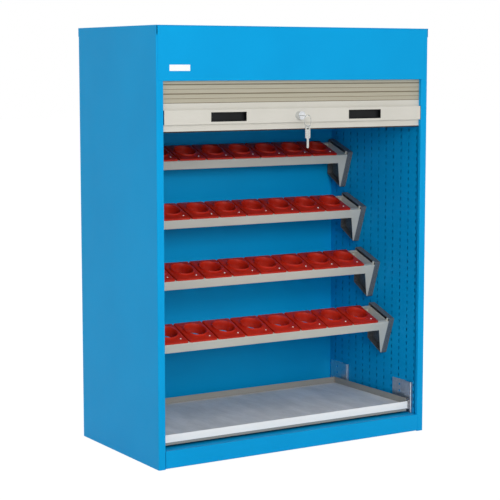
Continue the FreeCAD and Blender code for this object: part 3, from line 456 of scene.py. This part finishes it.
# rings round the seat's axis, from the foot of the bore up over the collar and down the skirt
def seatRings():
    turn = math.pi / seat["around"]
    angle = np.linspace(0, 2 * math.pi, seat["around"], endpoint=False) + turn
    hole, top, base = seat["hole"], seat["top"], seat["base"]
    bore = [(hole, base)] + [(hole + out * mm, top + up * mm) for out, up in seat["collar"]]
    rings = []
    for radius, z in bore:
        x, y = radius * np.cos(angle), radius * np.sin(angle) + seat["middle"]
        rings.append(np.stack([x, y, np.full_like(angle, z)], -1))
    half, low, high = seat["wide"] / 2, seat["front"], seat["back"]
    edge = [(inset * mm, top - down * mm) for inset, down in seat["edge"]] + [(0.0, seat["lip"])]
    for inset, z in edge:
        x, y = roundedBox(angle, half - inset, low + inset, high - inset, seat["corner"] - inset,
                          seat["middle"])
        rings.append(np.stack([x, y, np.full_like(angle, z)], -1))
    for z in (seat["lip"], base):
        x, y = roundedBox(angle, half - seat["skirtInset"], seat["skirtFront"], seat["skirtBack"],
                          seat["skirtCorner"], seat["middle"])
        rings.append(np.stack([x, y, np.full_like(angle, z)], -1))
    return np.stack(rings)


# the middles of a row of count seats at the pitch, even about X = 0
def rowPlaces():
    return (np.arange(seat["count"]) - (seat["count"] - 1) / 2) * seat["pitch"]


def seatRow(number):
    rings = seatRings()
    points = np.repeat(rings[None], seat["count"], 0)
    points[..., 0] += rowPlaces()[:, None, None]
    faces = []
    for k in range(seat["count"]):
        faces += ringFaces(len(rings), seat["around"], k * len(rings) * seat["around"])
    piece = meshFrom(f"tool_seats_{number}", onShelf(number, points), faces, "red")
    smooth(piece, 40)
    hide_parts(f"inserts_{number}")
    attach(piece, "cabinet")


nib = {
    "right": 33 * mm, "front": 22 * mm, "radius": 2.6 * mm, "tall": 2.2 * mm, "around": 16,
    # shares of the radius and of the height over the seat's top
    "profile": [(1, -0.4), (1, 0.45), (0.85, 0.8), (0.5, 0.97), (0.001, 1.0)],
}


# small white domed index studs: the profile turned about its own axis, one beside each seat's bore
def nibRow(number):
    around = nib["around"]
    angle = np.linspace(0, 2 * math.pi, around, endpoint=False)
    profile = np.array(nib["profile"])
    r, z = profile[:, 0] * nib["radius"], seat["top"] + profile[:, 1] * nib["tall"]
    ring = np.stack([r[:, None] * np.cos(angle), r[:, None] * np.sin(angle),
                     np.repeat(z[:, None], around, 1)], -1)
    points = np.repeat(ring[None], seat["count"], 0)
    points[..., 0] += (rowPlaces() + nib["right"])[:, None, None]
    points[..., 1] += nib["front"]
    faces = []
    for k in range(seat["count"]):
        first = k * len(profile) * around
        faces += ringFaces(len(profile), around, first, closed=False) + [list(range(first, first + around))]
    piece = smooth(meshFrom(f"index_studs_{number}", onShelf(number, points), faces, "white"), 60)
    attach(piece, "cabinet")


for number in range(1, shelf["count"] + 1):
    seatRow(number)
    nibRow(number)
print("tool seats made")


# blank plate on the fascia

plate = {
    "left": -498 * mm, "right": -422 * mm, "low": 1304 * mm, "high": 1324 * mm, "thick": 0.6 * mm,
    "bevel": [(0.0, 0.0), (0.0, 0.4), (0.5 * mm, 1.0)],  # inwards, and share of the thickness
}


# thin bare plate with a bevelled rim, as rings of four corners
def blankPlate():
    rings = []
    for inset, rise in plate["bevel"]:
        y = cadFront - rise * plate["thick"]
        x0, x1 = plate["left"] + inset, plate["right"] - inset
        z0, z1 = plate["low"] + inset, plate["high"] - inset
        rings.append([(x0, y, z0), (x1, y, z0), (x1, y, z1), (x0, y, z1)])
    faces = ringFaces(3, 4, closed=False) + [[0, 1, 2, 3], [8, 9, 10, 11]]
    piece = meshFrom("blank_plate", rings, faces, "white")
    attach(piece, "cabinet")


blankPlate()
print("blank plate made")


# camera, light and floor

view = {
    "place": (-2.8985, -4.6718, 1.3256), "yaw": 31.647, "pitch": -6.831,
    "lens": 111.70, "sensor": 36, "farthest": 100,
}


def addCamera():
    data = bpy.data.cameras.new("camera")
    data.lens = view["lens"]
    data.sensor_width = view["sensor"]
    data.clip_end = view["farthest"]
    camera = bpy.data.objects.new("camera", data)
    camera.location = view["place"]
    camera.rotation_euler = (math.radians(90 + view["pitch"]), 0, -math.radians(view["yaw"]))
    bpy.context.scene.collection.objects.link(camera)
    bpy.context.scene.camera = camera


lamps = {
    "front": {"place": (-1.3, -4.6, 2.15), "size": 1.5, "power": 88},
    "left": {"place": (-4.2, -1.2, 1.9), "size": 2.4, "power": 13},
    "rear": {"place": (1.6, 4.0, 2.4), "size": 2.4, "power": 60},
}
lampTarget = (0, 0, 0.72)  # about the middle of the cabinet


def addLamps():
    for name, lamp in lamps.items():
        data = bpy.data.lights.new(f"lamp_{name}", "AREA")
        data.energy = lamp["power"]
        data.size = lamp["size"]
        thing = bpy.data.objects.new(f"lamp_{name}", data)
        thing.location = lamp["place"]
        aim = np.array(lampTarget) - np.array(lamp["place"])
        tilt = math.acos(-aim[2] / np.linalg.norm(aim))
        thing.rotation_euler = (tilt, 0, math.atan2(aim[1], aim[0]) - math.pi / 2)
        bpy.context.scene.collection.objects.link(thing)


# 1 for rays that come from the camera, a mirror or glass
def seenDirectly(tree):
    path = addNode(tree, "ShaderNodeLightPath")
    either = addNode(tree, "ShaderNodeMath", {"operation": "MAXIMUM"},
                     {0: path.outputs["Is Camera Ray"], 1: path.outputs["Is Glossy Ray"]})
    return addNode(tree, "ShaderNodeMath", {"operation": "MAXIMUM"},
                   {0: either.outputs[0], 1: path.outputs["Is Transmission Ray"]}).outputs[0]


studio = {"fill": 0.55, "backdrop": 1.0}


def addWorld():
    world = bpy.data.worlds.new("studio")
    bpy.context.scene.world = world
    world.use_nodes = True
    tree = world.node_tree
    tree.nodes.clear()
    strength = remap(tree, seenDirectly(tree), studio["fill"], studio["backdrop"])
    back = addNode(tree, "ShaderNodeBackground", {"Color": (1, 1, 1, 1)}, {"Strength": strength})
    addNode(tree, "ShaderNodeOutputWorld", links={"Surface": back.outputs[0]})


# seen directly, the floor is mostly its own glow, so that it meets the white backdrop
ground = {"half": 30.0, "color": (0.86, 0.86, 0.86, 1), "glow": 1.1, "glowShare": 0.86}


def addFloor():
    half = ground["half"]
    corners = [(-half, -half, 0), (half, -half, 0), (half, half, 0), (-half, half, 0)]
    mesh = bpy.data.meshes.new("floor")
    mesh.from_pydata(corners, [], [(0, 1, 2, 3)])
    made = bpy.data.materials.new("paleFloor")
    made.use_nodes = True
    tree = made.node_tree
    tree.nodes.clear()
    dull = addNode(tree, "ShaderNodeBsdfDiffuse", {"Color": ground["color"]})
    glow = addNode(tree, "ShaderNodeEmission", {"Strength": ground["glow"]})
    share = remap(tree, seenDirectly(tree), 0.0, ground["glowShare"])
    mix = addNode(tree, "ShaderNodeMixShader", links={0: share, 1: dull.outputs[0], 2: glow.outputs[0]})
    addNode(tree, "ShaderNodeOutputMaterial", links={"Surface": mix.outputs[0]})
    mesh.materials.append(made)
    floor = bpy.data.objects.new("floor", mesh)
    bpy.context.scene.collection.objects.link(floor)


addCamera()
addLamps()
addWorld()
addFloor()
bpy.context.scene.view_settings.view_transform = "Standard"
print("camera, lamps and floor set")
